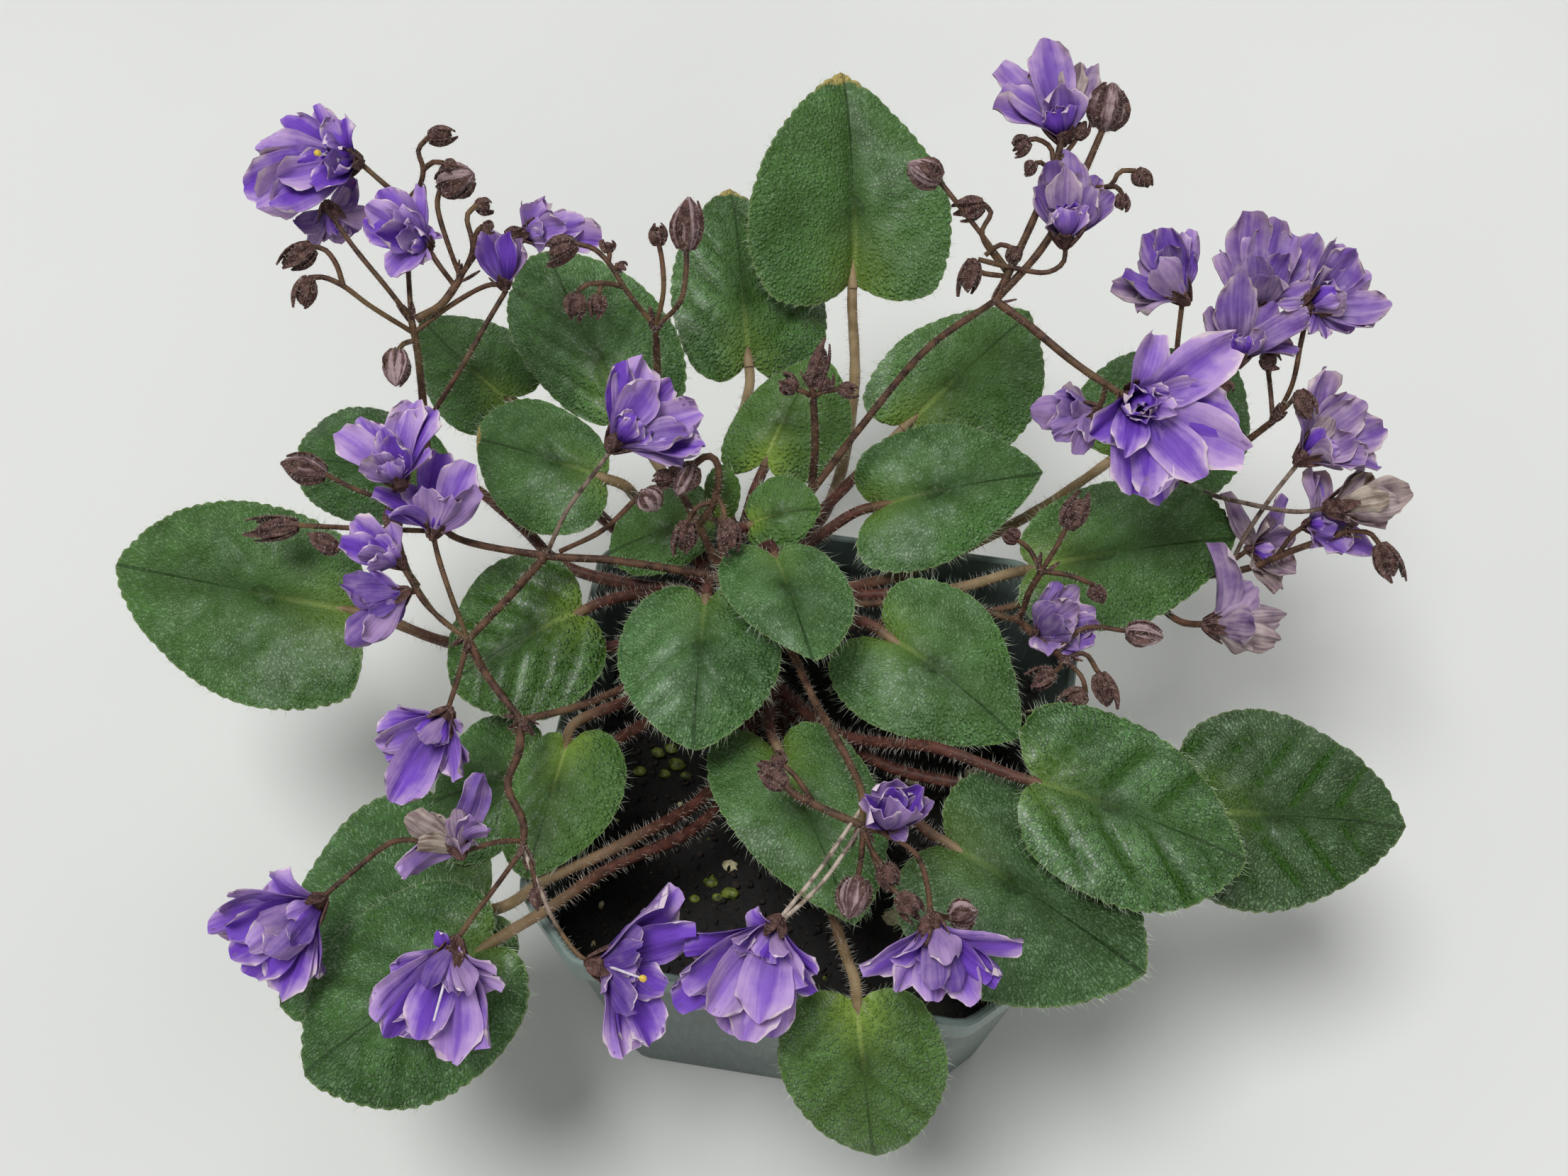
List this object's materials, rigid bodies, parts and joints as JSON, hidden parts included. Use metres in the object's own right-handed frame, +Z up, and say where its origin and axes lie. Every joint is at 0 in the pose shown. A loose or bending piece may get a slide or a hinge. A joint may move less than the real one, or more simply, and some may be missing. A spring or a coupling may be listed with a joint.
{
  "type": "potted african violet",
  "caption": "Trailing african violet with toothed heart-shaped leaves and double violet blooms on branching stalks, leaning out of a square nursery pot.",
  "frame": {"origin": "middle of the pot's base", "axes": "+Z up, X and Y along the sides of the pot; -Y is the side the picture was taken from, turned by about nine degrees"},
  "size_m": [0.2674, 0.2312, 0.1605],
  "materials": {
    "pot": "thin dark grey-teal plastic, paler and slightly sheer at the rim",
    "soil": "nearly black damp peat with cream perlite and green algae",
    "stem": "maroon to tan, softly hairy",
    "leaf": "quilted dark green with a silvery sheen and short hairs",
    "stalk": "brown-maroon, hairy, with mauve buds",
    "petal": "violet with pale edges and backs"
  },
  "bodies": {
    "root": {"pot": "pot", "soil": "soil", "crown": "stem", "leaf_01": "leaf", "leaf_02": "leaf", "leaf_03": "leaf", "leaf_04": "leaf", "leaf_05": "leaf", "leaf_06": "leaf", "leaf_07": "leaf", "leaf_08": "leaf", "leaf_09": "leaf", "leaf_10": "leaf", "leaf_11": "leaf", "leaf_12": "leaf", "leaf_13": "leaf", "leaf_14": "leaf", "leaf_15": "leaf", "leaf_16": "leaf", "leaf_17": "leaf", "leaf_18": "leaf", "leaf_19": "leaf", "leaf_20": "leaf", "leaf_21": "leaf", "leaf_22": "leaf", "leaf_23": "leaf", "leaf_24": "leaf", "leaf_25": "leaf", "leaf_26": "leaf", "leaf_27": "leaf", "leaf_28": "leaf", "spray_left": "stalk", "spray_top": "stalk", "spray_upper_right": "stalk", "spray_right": "stalk", "spray_near_right": "stalk", "spray_front": "stalk", "bloom_01": "petal", "bloom_02": "petal", "bloom_03": "petal", "bloom_04": "petal", "bloom_05": "petal", "bloom_06": "petal", "bloom_07": "petal", "bloom_08": "petal", "bloom_09": "petal", "bloom_10": "petal", "bloom_11": "petal", "bloom_12": "petal", "bloom_13": "petal", "bloom_14": "petal", "bloom_15": "petal", "bloom_16": "petal", "bloom_17": "petal", "bloom_18": "petal", "bloom_19": "petal", "bloom_20": "petal", "bloom_21": "petal", "bloom_22": "petal", "bloom_23": "petal"}
  },
  "joints": []
}
